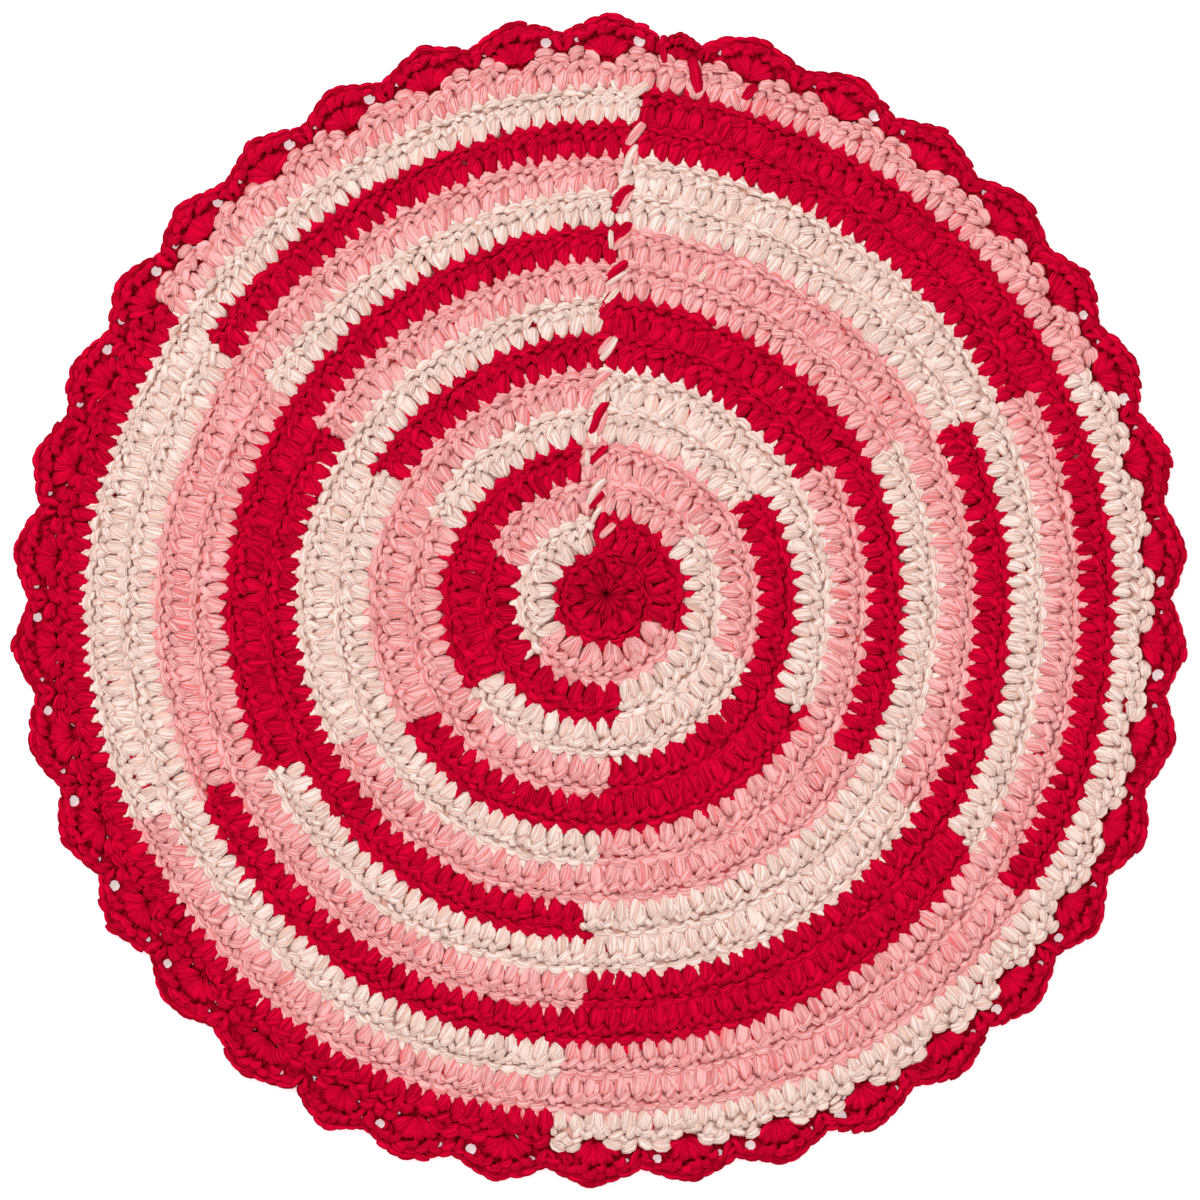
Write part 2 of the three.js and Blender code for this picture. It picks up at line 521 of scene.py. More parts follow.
@dataclass
class Round:
    """One crocheted round, and where its stitches lie.

    Attributes:
        number: Round number from the middle, from 1.
        inner: Inner radius.
        outer: Outer radius.
        start: Direction of the seam in this round.
        holes: Direction that each stitch is worked into. Two stitches of an increase share one.
        roots: Direction of the inner end of each stitch.
        tops: Direction of the top of each stitch.
        widths: Width of each stitch in degrees.
        sways: How far each stitch leans clockwise in degrees.
    """

    number: int
    inner: float
    outer: float
    start: float
    holes: np.ndarray
    roots: np.ndarray
    tops: np.ndarray
    widths: np.ndarray
    sways: np.ndarray

    @property
    def height(self) -> float:
        """Height of the round from its inner to its outer radius."""
        return self.outer - self.inner

    def picked(self, chosen: np.ndarray) -> "Round":
        """The same round with the chosen stitches alone."""
        names = ("holes", "roots", "tops", "widths", "sways")
        return replace(self, **{name: getattr(self, name)[chosen] for name in names})

    def spaced(self, spots: np.ndarray, widths: np.ndarray) -> "Round":
        """The same round with straight stitches at other spots."""
        sways = np.zeros(len(spots))
        return replace(self, holes=spots, roots=spots, tops=spots, widths=widths, sways=sways)

    def yarns(self, directions: np.ndarray) -> np.ndarray:
        """Yarn of the stitches at some directions, by the stripe rule.

        Each round is a third red, a third pink and a third cream. The colour at the seam moves on
        by one each second round, and the rounds between are turned by half a third.

        Args:
            directions: Directions of the stitches.

        Returns:
            Place of each yarn in the stripe order.
        """
        third = FULL_TURN / len(Yarn)
        if self.number <= RING_ROUNDS:
            return np.full(directions.shape, Yarn.RED.value)
        odd = self.number % 2
        first = (self.number - RING_ROUNDS - odd) // 2
        turned = np.mod(directions - self.start + (0 if odd else third / 2), FULL_TURN)
        return (first + np.floor(turned / third).astype(int)) % len(Yarn)


@dataclass
class Rounds:
    """Works out every round of the mat from a few sizes.

    Attributes:
        ring_increases: How many stitches of the second round are increases.
        increases: How many stitches of each later round are.
        increase_wander: How far an increase strays, as a share of the way to the next.
        pair_share: Room of each stitch of an increase, where 1 is that of a single stitch.
        pair_apart: How far the two lie to each side, as a share of the room of both.
        root_spread: How far their roots part, as a share of their tops.
        next_root: Where a stitch is worked in between two tops of the last round.
        hold: How much a stitch stays over its hole instead of spacing out evenly.
        wander: How much the room of a stitch varies.
        sway: How much the lean of a stitch varies, in degrees.
    """

    ring_height: float = 7.75
    tall_rounds: int = 14
    tall_first: float = 12.0
    tall_last: float = 11.1
    first_stitches: int = 10
    ring_increases: int = 7
    increases: int = 15
    increase_wander: float = 0.1
    pair_share: float = 0.8
    pair_apart: float = 0.25
    root_spread: float = 0.55
    next_root: float = 0.7
    hold: float = 0.35
    seam_far: float = 9.5
    seam_turn: float = 75.0
    seam_least: float = -8.0
    wander: float = 0.05
    sway: float = 6.0
    seed: int = 11

    def edges(self) -> list[float]:
        """Works out where each round ends.

        Returns:
            Outer radius of each round.
        """
        edges = [self.ring_height * (index + 1) for index in range(RING_ROUNDS)]
        for index in range(self.tall_rounds):
            share = index / (self.tall_rounds - 1)
            edges.append(edges[-1] + self.tall_first + (self.tall_last - self.tall_first) * share)
        return edges

    def seam(self, number: int) -> float:
        """Direction of the seam in a round, which leans clockwise as the mat grows."""
        return max(self.seam_least, self.seam_far - self.seam_turn / number)

    def rounds(self) -> list[Round]:
        """Lays out the stitches of every round, each worked in between two tops of the last.

        Returns:
            The rounds from the middle out.
        """
        dice = np.random.default_rng(self.seed)
        edges = [0.0, *self.edges()]
        spots = np.arange(self.first_stitches) / self.first_stitches * FULL_TURN
        made = []
        for number in range(1, len(edges)):
            doubled = self._doubled(number, len(spots), dice)
            places = self._stitches(spots, doubled, dice)
            sways = dice.normal(0.0, self.sway, len(places[0]))
            inner, outer = edges[number - 1], edges[number]
            made.append(Round(number, inner, outer, self.seam(number), *places, sways))
            tops = made[-1].tops
            after = np.append(tops[1:], tops[0] + FULL_TURN)
            spots = tops + (after - tops) * self.next_root
        return made

    def _doubled(self, number: int, count: int, dice: np.random.Generator) -> np.ndarray:
        """Picks the stitches of a round that are increases.

        Args:
            number: Round number.
            count: How many stitches there are to work into.
            dice: Seeded source of unevenness.

        Returns:
            True for each place that holds two stitches.
        """
        doubled = np.zeros(count, dtype=bool)
        if number == 1:
            return doubled
        wanted = self.ring_increases if number == RING_ROUNDS else self.increases
        places = (np.arange(wanted) + dice.uniform(0.0, 1.0)) / wanted
        places = places + dice.uniform(-self.increase_wander, self.increase_wander, wanted) / wanted
        doubled[np.mod((places * count).astype(int), count)] = True
        return doubled

    def _stitches(
        self, spots: np.ndarray, doubled: np.ndarray, dice: np.random.Generator
    ) -> tuple[np.ndarray, np.ndarray, np.ndarray, np.ndarray]:
        """Spreads the stitches of one round so that increases get room.

        Args:
            spots: Directions to work into.
            doubled: True for each of them that holds two stitches.
            dice: Seeded source of unevenness.

        Returns:
            Hole, root, top and width of each stitch in degrees.
        """
        room = np.where(doubled, 2 * self.pair_share, 1.0)
        room = room * (1 + dice.uniform(-self.wander, self.wander, len(spots)))
        room = room / room.sum() * FULL_TURN
        even = np.cumsum(room) - room / 2
        even += np.mean(spots) - np.mean(even)
        middles = self.hold * spots + (1 - self.hold) * even
        counts = np.where(doubled, 2, 1)
        index = np.repeat(np.arange(len(spots)), counts)
        second = np.append([False], index[1:] == index[:-1])
        apart = np.where(second, self.pair_apart, -self.pair_apart)
        side = np.where(doubled[index], apart, 0.0) * room[index]
        holes = middles[index]
        return holes, holes + side * self.root_spread, holes + side, room[index] / counts[index]


@dataclass(frozen=True)
class Scallop:
    """One scallop of the edging.

    Attributes:
        middle: Direction of its tip.
        width: Its width in degrees.
        rise: Its height as a share of a full one.
    """

    middle: float
    width: float
    rise: float = 1.0


@dataclass
class Rim:
    """Where the scallops sit, their outline, and the wavy seam between the mat and its edging.

    Attributes:
        sharpness: Shape of a scallop. At 1 its flanks are straight, below 1 they are full.
        runs: Scallops after the first one, as counts and pitches in degrees.
        join_rise: Rise of the small scallop that joins the round.
        wave: How far the seam lies outside its radius at places across a scallop.
    """

    valley_radius: float = 183.4
    sharpness: float = 0.8
    seam_radius: float = 177.2
    first: float = 16.0
    runs: tuple[tuple[int, float], ...] = ((3, 10.3), (16, 9.55), (1, 8.0), (16, 9.58125))
    join_rise: float = 0.35
    wave: tuple[tuple[float, float], ...] = (
        (-0.5, -0.2), (-0.44, 0.4), (-0.37, 1.9), (-0.26, 1.7), (-0.17, -0.4), (-0.08, -2.9),
        (0.04, -3.0), (0.12, -1.6), (0.2, 1.2), (0.28, 2.0), (0.38, 1.9), (0.44, 0.2), (0.5, -0.2),
    )

    @cached_property
    def scallops(self) -> list[Scallop]:
        """Lines up the scallops clockwise.

        Returns:
            The scallops, with the small one that joins the round at the end.
        """
        steps = [pitch for count, pitch in self.runs for _ in range(count)]
        middles = self.first + np.concatenate([[0.0], np.cumsum(steps)])
        made = [Scallop(middle, width) for middle, width in zip(middles, [steps[0], *steps])]
        start = made[-1].middle + made[-1].width / 2
        end = self.first + FULL_TURN - made[0].width / 2
        return [*made, Scallop((start + end) / 2, end - start, self.join_rise)]

    @cached_property
    def table(self) -> np.ndarray:
        """The middles, the widths and the rises of the scallops, as three rows."""
        return np.array([(item.middle, item.width, item.rise) for item in self.scallops]).T

    def tips(self) -> np.ndarray:
        """Directions of the tips of the full scallops."""
        middles, _, rises = self.table
        return middles[rises == 1.0]

    def place(self, direction: np.ndarray) -> tuple[np.ndarray, np.ndarray]:
        """Place in the scallop there, and that scallop's rise.

        Args:
            direction: Directions round the mat.

        Returns:
            Places from -0.5 to 0.5 across the scallop, and the rises.
        """
        middles, widths, rises = self.table
        starts = middles - widths / 2
        turned = starts[0] + np.mod(direction - starts[0], FULL_TURN)
        index = np.searchsorted(starts, turned, side="right") - 1
        return np.clip((turned - middles[index]) / widths[index], -0.5, 0.5), rises[index]

    def outline(self, place: np.ndarray, rise: np.ndarray) -> np.ndarray:
        """Outer radius at a place in a scallop, from the valley up to the tip."""
        climb = (1 - np.abs(2 * place)) ** self.sharpness
        return self.valley_radius + (TIP_RADIUS - self.valley_radius) * climb * rise

    def shift(self, direction: np.ndarray) -> np.ndarray:
        """How far the seam lies outside its even radius.

        Args:
            direction: Directions round the mat.

        Returns:
            The distances there.
        """
        place, rise = self.place(direction)
        places, shifts = zip(*self.wave)
        return np.interp(place, places, shifts) * rise


@dataclass(frozen=True)
class Unevenness:
    """How much loops differ by hand, each as a standard deviation.

    Attributes:
        turn: Their direction in degrees.
        size: Their size as a share.
        slide: Their place outward.
        lift: Their height.
        tone: Their tone.
    """

    turn: float
    size: float
    slide: float
    lift: float = 0.15
    tone: float = 0.08

    def drawn(self, dice: np.random.Generator, count: int) -> tuple[np.ndarray, ...]:
        """Draws the unevenness of some loops.

        Args:
            dice: Seeded source of it.
            count: How many loops there are.

        Returns:
            Their turns, sizes, lifts and slides as columns, and their tones.
        """
        spreads = (self.turn, self.size, self.lift, self.slide)
        turn, size, lift, slide = (dice.normal(0.0, spread, count)[:, None] for spread in spreads)
        return turn, 1 + size, lift, slide, dice.normal(0.0, self.tone, count)


@dataclass
class StitchLayer:
    """Lays loops along the rounds, one for each stitch.

    Attributes:
        lay: How the mat lies.
        rim: The rim, whose seam draws the last tops in and out.
        rounds: The rounds from the middle out.
        pitch: Nominal width of a stitch.
        height: Nominal height of a round.
        root: Height above which a stitch stands on its own top and no longer leans to its root.
        seam_start: Height in the last round above which the seam draws the loops with it.
        seam_end: Height above which they follow it fully.
        seam_tilt: How much of the seam's slope they take up.
        seam_step: Half the way over which that slope is measured, in degrees.
        lowest: Height of the lowest points over the table.
        least_radius: How near to the middle a loop may reach.
    """

    lay: Lay
    rim: Rim
    rounds: list[Round]
    pitch: float = 5.0
    height: float = 11.6
    root: float = 6.4
    seam_start: float = 3.0
    seam_end: float = 9.5
    seam_tilt: float = 0.7
    seam_step: float = 0.5
    lowest: float = 0.05
    least_radius: float = 0.2
    uneven: Unevenness = Unevenness(turn=5.0, size=0.07, slide=0.32)
    seed: int = 5

    def _spread(
        self,
        heap_of: dict[Yarn, Heap],
        bead: Bead,
        row: Round,
        dice: np.random.Generator,
        yarns: np.ndarray | None = None,
    ) -> None:
        """Lays one kind of loop round a round.

        Args:
            heap_of: Heap of each yarn.
            bead: The loop.
            row: The round.
            dice: Seeded source of unevenness.
            yarns: Yarn of each loop, if it isn't that of the stripe rule.
        """
        shape = bead.shape()
        turn, grow, lift, slide, tone = self.uneven.drawn(dice, len(row.tops))
        turn = np.radians(row.sways[:, None] + turn)
        along, out, up = (shape.points[None, :, axis] for axis in range(3))
        base = bead.path[0][1]
        longer = np.exp(dice.normal(0.0, bead.vary, len(row.tops)))[:, None]
        middle = float(np.mean(shape.points[:, 1]))
        beyond = base + (out - base) * longer - middle
        seam = 0.0
        if row.number == len(self.rounds):
            share = np.clip((middle - self.seam_start) / (self.seam_end - self.seam_start), 0, 1)
            spot = row.tops + np.mean(along) / self.pitch * row.widths
            ahead, behind = self.rim.shift(spot + self.seam_step), self.rim.shift(spot - self.seam_step)
            slope = (ahead - behind) / (np.radians(2 * self.seam_step) * row.outer)
            turn = turn + (np.arctan(slope) * share * self.seam_tilt)[:, None]
            seam = (self.rim.shift(spot) * share)[:, None]
        around = along * np.cos(turn) - beyond * np.sin(turn)
        outward = along * np.sin(turn) + beyond * np.cos(turn)
        upright = np.clip(1 - (base + (out - base) * longer) / self.root, 0.0, 1.0)
        lean = (row.roots - row.tops)[:, None] * upright
        direction = row.tops[:, None] + lean + around * grow / self.pitch * row.widths[:, None]
        radius = row.inner + (outward * grow + middle + slide) * row.height / self.height + seam
        radius = np.maximum(radius, self.least_radius)
        points = self.lay.place(direction, radius, np.maximum(up + lift, self.lowest))
        yarns = row.yarns(row.tops) if yarns is None else yarns
        for yarn, heap in heap_of.items():
            chosen = yarns == yarn.value
            heap.add(shape, points[chosen], tone[chosen])


@dataclass
class MatFront(StitchLayer):
    """Every stitch of the sixteen rounds as the front shows it, worked in three yarns.

    Each stitch is a plump lobe with a narrower one beside it, a curl that crosses their outer ends
    and turns back in a knob, the two strands of its chain top, and the point that shows between
    the stitches of the next round. The carried yarns peep out here and there.

    Attributes:
        petals: How many loops the first round shows round the middle.
        tops_painted_light: Painted light that makes the curls and chains brighter.
        sliver_first: First round in which the carried yarn peeps out.
        sliver_arcs: How many arcs of each round show it often.
        sliver_reach: Least and most half width of such an arc in degrees.
        sliver_least: Share of the stitches that show it anywhere.
        sliver_most: Share that show it in the middle of such an arc.
        sliver_in_red: How often it shows between red stitches, as a share of elsewhere.
        sliver_red: Share of the slivers between pink and cream stitches that are red.
    """

    petals: int = 15
    tops_painted_light: float = 0.2
    sliver_first: int = 4
    sliver_arcs: int = 2
    sliver_reach: tuple[float, float] = (6.0, 16.0)
    sliver_least: float = 0.02
    sliver_most: float = 0.45
    sliver_in_red: float = 0.15
    sliver_red: float = 0.75
    lobe: Bead = Bead(
        path=((-0.5, -1.5, 4.4), (-0.5, 2.7, 5.9), (0.7, 6.4, 4.3)),
        width=(3.0, 2.2), height=1.6, points=(0.85, 0.6), sides=8, rings=6, strands=34,
    )
    side_lobe: Bead = Bead(
        path=((-1.2, 0.5, 4.4), (-1.9, 2.9, 6.0), (-1.9, 5.8, 4.7)),
        width=(1.3, 1.35), height=1.35, points=(0.7, 0.65), strands=19,
    )
    petal: Bead = Bead(
        path=((0.0, 0.9, 4.2), (-0.3, 5.0, 6.1), (0.6, 11.4, 4.3)),
        width=(3.0, 2.7), height=1.4, points=(0.45, 0.7), vary=0.12, sides=8, rings=8, strands=34,
    )
    curl: Bead = Bead(
        path=((-3.1, 4.4, 4.5), (-1.4, 6.6, 6.7), (1.1, 7.7, 5.2)),
        width=(1.4, 1.5), height=1.3, points=(0.6, 0.6), sides=7, strands=20,
    )
    knob: Bead = Bead(
        path=((0.4, 7.7, 4.9), (3.3, 8.0, 7.0), (2.0, 5.6, 4.6)),
        width=(1.4, 1.5), height=1.3, points=(0.7, 0.55), sides=7, strands=20,
    )
    inner_strand: Bead = Bead(
        path=((-2.7, 8.8, 4.3), (-1.1, 9.3, 6.0), (0.6, 8.4, 4.6)),
        width=(1.2, 1.2), height=1.1, points=(0.65, 0.65), rings=4, strands=16,
    )
    outer_strand: Bead = Bead(
        path=((-2.5, 9.4, 4.3), (-0.4, 11.7, 6.3), (2.9, 9.6, 4.3)),
        width=(1.55, 1.6), height=1.35, points=(0.58, 0.6), sides=7, strands=21,
    )
    point: Bead = Bead(
        path=((1.0, 9.8, 4.3), (0.3, 12.0, 6.2), (-0.8, 13.7, 5.4)),
        width=(1.5, 1.2), height=0.8, points=(0.8, 1.8), vary=0.16, rings=4, strands=12,
    )
    seam_strand: Bead = Bead(
        path=((-2.6, 7.4, 4.0), (0.0, 10.2, 5.9), (2.8, 8.6, 4.1)),
        width=(1.3, 1.3), height=1.2, points=(0.6, 0.6), sides=7, rings=6, strands=17,
    )
    sliver: Bead = Bead(
        path=((2.4, 1.4, 4.4), (2.5, 4.0, 5.5), (2.6, 6.8, 4.4)),
        width=(0.95, 0.95), height=0.9, points=(0.8, 0.8), vary=0.12, strands=11,
    )

    def build(self) -> list[bpy.types.Object]:
        """Lays every loop of every round.

        Returns:
            The pieces of the front, two for each yarn.
        """
        dice = np.random.default_rng(self.seed)
        # The curls and chains get painted light on top of their random tone.
        loops, tops = heaps("loops"), heaps("tops", self.tops_painted_light)
        for row in self.rounds:
            if row.number == 1:
                self._spread(loops, self.petal, self._ring(row), dice)
                continue
            self._spread(loops, self.lobe, row, dice)
            self._spread(loops, self.side_lobe, row, dice)
            self._slivers(loops, row, dice)
            for strand in (self.curl, self.knob, self.inner_strand):
                self._spread(tops, strand, row, dice)
            if row is self.rounds[-1]:
                self._spread(tops, self.outer_strand, row, dice)
                self._spread(loops, self.seam_strand, row, dice)
            else:
                arches = self._arches(row, self.rounds[row.number])
                self._spread(tops, self.outer_strand, arches, dice)
                self._spread(loops, self.point, arches, dice)
        return [heap.build() for heap in (*loops.values(), *tops.values())]

    def _ring(self, row: Round) -> Round:
        """Even petals in place of the first round's stitches."""
        spots = np.arange(self.petals) / self.petals * FULL_TURN
        return row.spaced(spots, np.full(self.petals, FULL_TURN / self.petals))

    @staticmethod
    def _arches(row: Round, after: Round) -> Round:
        """Places of the outer strands, each between two stitches of the next round.

        Args:
            row: The round that the strands belong to.
            after: The next round.

        Returns:
            The places as a round.
        """
        holes = np.unique(after.holes)
        ahead = np.append(holes[1:], holes[0] + FULL_TURN)
        return row.spaced((holes + ahead) / 2, ahead - holes)

    def _slivers(self, heap_of: dict[Yarn, Heap], row: Round, dice: np.random.Generator) -> None:
        """Lets the carried yarn peep out between some stitches, most often over a few arcs.

        Args:
            heap_of: Heap of each yarn.
            row: The round.
            dice: Seeded source of the places.
        """
        if row.number < self.sliver_first:
            return
        arcs = dice.uniform(0.0, FULL_TURN, self.sliver_arcs)
        reach = dice.uniform(*self.sliver_reach, self.sliver_arcs)
        near = np.exp(-((wrapped(row.tops[:, None] - arcs) / reach) ** 2)).max(axis=1)
        own = row.yarns(row.tops)
        often = np.where(own == Yarn.RED.value, self.sliver_in_red, 1.0)
        chosen = dice.random(len(own)) < self.sliver_least + self.sliver_most * near * often
        other = np.where(own == Yarn.PINK.value, Yarn.CREAM.value, Yarn.PINK.value)
        red = (own != Yarn.RED.value) & (dice.random(len(own)) < self.sliver_red)
        carried = np.where(red, Yarn.RED.value, other)
        self._spread(heap_of, self.sliver, row.picked(chosen), dice, carried[chosen])


@dataclass
class MatBack(StitchLayer):
    """The underside: the back of each post, with a bar across its top."""

    seed: int = 6
    post: Bead = Bead(
        path=((0.0, -1.2, 1.8), (0.2, 4.8, 0.3), (0.4, 10.4, 1.7)),
        width=(2.6, 2.5), height=1.0, points=(0.55, 0.55), rings=4, strands=26,
    )
    bar: Bead = Bead(
        path=((-2.9, 9.2, 1.5), (0.0, 11.7, 0.2), (3.0, 9.9, 1.4)),
        width=(1.7, 1.7), height=0.9, points=(0.5, 0.5), rings=4, strands=20,
    )

    def build(self) -> list[bpy.types.Object]:
        """Lays the backs of every round.

        Returns:
            The pieces of the back, one for each yarn.
        """
        dice = np.random.default_rng(self.seed)
        backs = heaps("backs")
        for row in self.rounds:
            for bead in (self.post, self.bar):
                self._spread(backs, bead, row, dice)
        return [heap.build() for heap in backs.values()]


@dataclass(frozen=True)
class Float:
    """One strand that lies loose on the front where a yarn was carried up to the next round.

    Attributes:
        start: Its outer end, to the right of and above the middle of the mat.
        end: Its inner end.
        width: Its width.
        bow: How far it bows to the left.
    """

    start: tuple[float, float]
    end: tuple[float, float]
    width: float
    bow: float = 0.0


FLOATS = {
    Yarn.RED: (
        Float((29.6, 175.4), (32.4, 162.8), 3.9),
        Float((20.0, 178.8), (21.2, 173.4), 2.3),
        Float((50.5, 166.2), (46.0, 161.4), 3.4),
        Float((11.2, 133.8), (4.6, 124.8), 3.2, 1.6),
        Float((9.9, 122.2), (4.1, 114.6), 3.4),
        Float((9.1, 109.4), (1.5, 103.0), 2.9),
        Float((5.8, 99.8), (-0.2, 90.2), 4.5),
        Float((2.8, 64.4), (-2.8, 52.4), 2.9, 0.9),
        Float((2.4, 50.2), (-3.4, 43.6), 2.5),
        Float((2.4, 35.8), (-3.4, 29.4), 2.0),
        Float((1.8, 28.8), (-0.2, 21.0), 2.9),
    ),
    Yarn.PINK: (
        Float((42.6, 164.4), (45.4, 157.8), 2.8, 0.6),
        Float((14.6, 154.4), (8.4, 146.4), 3.1),
        Float((11.8, 145.2), (11.2, 139.2), 1.7),
        Float((10.4, 132.4), (6.6, 124.6), 2.4),
        Float((10.0, 119.2), (3.9, 112.8), 2.1),
        Float((4.2, 84.8), (-0.5, 79.2), 2.4),
        Float((3.4, 74.2), (-3.2, 68.0), 2.9),
        Float((2.5, 61.2), (-1.0, 52.2), 1.9),
        Float((2.7, 47.4), (-3.0, 41.8), 1.8),
        Float((5.0, 24.8), (-0.2, 20.0), 2.4),
    ),
    Yarn.CREAM: (
        Float((16.0, 167.0), (7.8, 161.2), 3.3),
        Float((12.2, 147.2), (8.2, 136.4), 2.7, 0.8),
        Float((3.6, 119.4), (3.7, 113.0), 1.9),
        Float((9.0, 106.2), (1.9, 101.6), 1.7),
        Float((6.2, 101.0), (-0.8, 92.0), 2.3),
        Float((5.4, 85.2), (-0.3, 76.8), 2.5, -0.4),
        Float((3.7, 70.4), (-2.6, 65.0), 1.7),
        Float((-3.8, 48.2), (-4.1, 43.0), 1.9),
        Float((2.0, 39.2), (-3.4, 30.2), 2.8, 1.0),
        Float((1.4, 30.8), (-2.8, 23.6), 1.8, 0.6),
        Float((34.5, 106.0), (31.6, 102.8), 2.0),
    ),
}


@dataclass
class SeamFloats:
    """The loose strands that climb the seam, and the ends that were never worked in.

    Attributes:
        low: Height of their ends.
        high: Height that their middles are drawn to.
        flare: How much wider the outer end is.
        strands: How many strands the pattern shows round one, for each millimetre of its width.
    """

    lay: Lay
    low: float = 5.3
    high: float = 7.9
    flare: float = 1.1
    strands: float = 7.5

    def build(self) -> list[bpy.types.Object]:
        """Lays every float.

        Returns:
            The floats of each yarn as one piece.
        """
        made = heaps("floats")
        for yarn, floats in FLOATS.items():
            for strand in floats:
                shape = self._bead(strand).shape()
                points = (shape.points + np.array([*self.lay.shift, 0.0])) * MM
                made[yarn].add(shape, points[None, :, :], np.zeros(1))
        return [heap.build() for heap in made.values()]

    def _bead(self, strand: Float) -> Bead:
        """Bends one loose strand.

        Args:
            strand: The strand.

        Returns:
            Its loop, placed from the middle of the mat.
        """
        along = (strand.start[0] + strand.end[0]) / 2 - 2 * strand.bow
        out = (strand.start[1] + strand.end[1]) / 2 + strand.bow
        half = strand.width / 2
        return Bead(
            path=((*strand.start, self.low), (along, out, self.high), (*strand.end, self.low)),
            width=(half * self.flare, half), height=1.0, points=(0.4, 0.4), sides=8, rings=8,
            strands=self.strands * strand.width,
        )


@dataclass
class Ground:
    """The thin cloth under the loops, with the carried yarns running round inside it.

    Attributes:
        thickness: Height of its top, before each round's rise.
        lift: Height of its underside.
        steps: Steps round it.
        rim_inset: How far it stays inside the last round.
        profile: Its top across one round, as the share of the way across and the rise there.
        carried: Share of the spots in a red, pink and cream stitch where another yarn shows.
        carried_across: Between which shares of the way across a round that is.
        strand_size: Size of the yarn pattern outward, and round the mat in degrees.
        weld: Distance below which corners are one.
    """

    lay: Lay
    rim: Rim
    rounds: list[Round]
    thickness: float = 3.7
    lift: float = 1.9
    steps: int = 240
    rim_inset: float = 1.2
    profile: tuple[tuple[float, float], ...] = ((0.12, -0.6), (0.34, 0.5), (0.62, 0.3), (0.9, 0.9))
    carried: tuple[float, float, float] = (0.03, 0.08, 0.1)
    carried_across: tuple[float, float] = (0.15, 0.75)
    strand_size: tuple[float, float] = (24.0, 9.0)
    weld: float = 1e-4
    seed: int = 3

    def build(self) -> bpy.types.Object:
        """Spins the ground from its section, colours it by the stripe rule and lays it down.

        Returns:
            The finished ground.
        """
        work = bmesh.new()
        verts = [work.verts.new((0.0, radius, height)) for radius, height in self._section()]
        edges = [work.edges.new(pair) for pair in zip(verts, verts[1:])]
        bmesh.ops.spin(
            work, geom=[*verts, *edges], cent=(0, 0, 0), axis=(0, 0, -1),
            angle=2 * math.pi, steps=self.steps, use_merge=True,
        )
        bmesh.ops.remove_doubles(work, verts=work.verts, dist=self.weld)
        layer = work.loops.layers.uv.new("yarn")
        dice = np.random.default_rng(self.seed)
        wide, long = self.strand_size
        work.verts.index_update()
        for face in sorted(work.faces, key=lambda item: sorted(vert.index for vert in item.verts)):
            face.smooth = True
            middle = face.calc_center_median()
            direction = direction_of(middle)
            face.material_index = self._yarn(middle.xy.length, direction, dice)
            for loop in face.loops:
                spot = loop.vert.co
                turned = direction + wrapped(direction_of(spot) - direction)
                loop[layer].uv = (spot.xy.length / wide, turned / long)
        last = self.rounds[-1]
        for vert in work.verts:
            direction = np.array(direction_of(vert.co))
            radius = np.array(math.hypot(vert.co.x, vert.co.y))
            share = np.clip((radius - last.inner) / last.height, 0.0, 1.0)
            radius = radius + self.rim.shift(direction) * share
            vert.co = Vector(self.lay.place(direction, radius, np.array(vert.co.z)))
        bmesh.ops.recalc_face_normals(work, faces=work.faces)
        return finished("mat_ground", work, [FINISHES[yarn].material() for yarn in Yarn])

    def _section(self) -> list[tuple[float, float]]:
        """Draws the section of the ground.

        Returns:
            Radii and heights from the axis below, round the rim, to the axis on top.
        """
        rim = self.rounds[-1].outer - self.rim_inset
        under = [(reach, self.lift) for reach in (0.0, *(row.outer for row in self.rounds[:-1]), rim)]
        top = [(0.0, self.thickness)]
        for row in self.rounds:
            for across, rise in self.profile:
                top.append((row.inner + across * row.height, self.thickness + rise))
        top = [point for point in top if point[0] < rim]
        return [*under, (rim, self.thickness + self.profile[0][1]), *top[::-1]]

    def _yarn(self, radius: float, direction: float, dice: np.random.Generator) -> int:
        """Yarn that shows in the ground at one spot.

        Args:
            radius: Radius of the spot.
            direction: Direction of the spot.
            dice: Seeded source of carried yarns that show through.

        Returns:
            Place of the yarn in the stripe order.
        """
        row = next((item for item in self.rounds if radius < item.outer), self.rounds[-1])
        own = int(row.yarns(np.array([direction]))[0])
        near, far = self.carried_across
        inside = near < (radius - row.inner) / row.height < far
        if row.number > RING_ROUNDS and inside and dice.random() < self.carried[own]:
            return Yarn.RED.value if own != Yarn.RED.value else Yarn.PINK.value
        return own


@dataclass(frozen=True)
class Hole:
    """One small see-through hole beside a fan.

    Attributes:
        direction: Direction of its middle.
        radius: Radius of its middle.
        wide: Half its size along the round in degrees.
        high: Half its size outward.
    """

    direction: float
    radius: float
    wide: float
    high: float

    def apart(self, spot: tuple[float, float]) -> tuple[float, float]:
        """Offset of a spot from the middle, along the round and outward, where 1 is the edge."""
        return wrapped(spot[0] - self.direction) / self.wide, (spot[1] - self.radius) / self.high

    def snap(self, spot: tuple[float, float]) -> tuple[float, float]:
        """Moves a spot straight out from the middle, or in, onto the edge of the hole.

        Args:
            spot: Direction and radius of the spot.

        Returns:
            Direction and radius of its new place.
        """
        along, out = self.apart(spot)
        move = 1 / max(math.hypot(along, out), TINY) - 1
        return spot[0] + along * move * self.wide, spot[1] + out * move * self.high


@dataclass(frozen=True)
class ChainStrand:
    """One kind of strand in the chain along the outline of a scallop.

    Attributes:
        depth: How far it lies inside the outline.
        reach: Its length before and after its middle.
        width: Half its width.
        heights: Height of its start, bend and end.
    """

    depth: float
    reach: tuple[float, float]
    width: float
    heights: tuple[float, float, float]


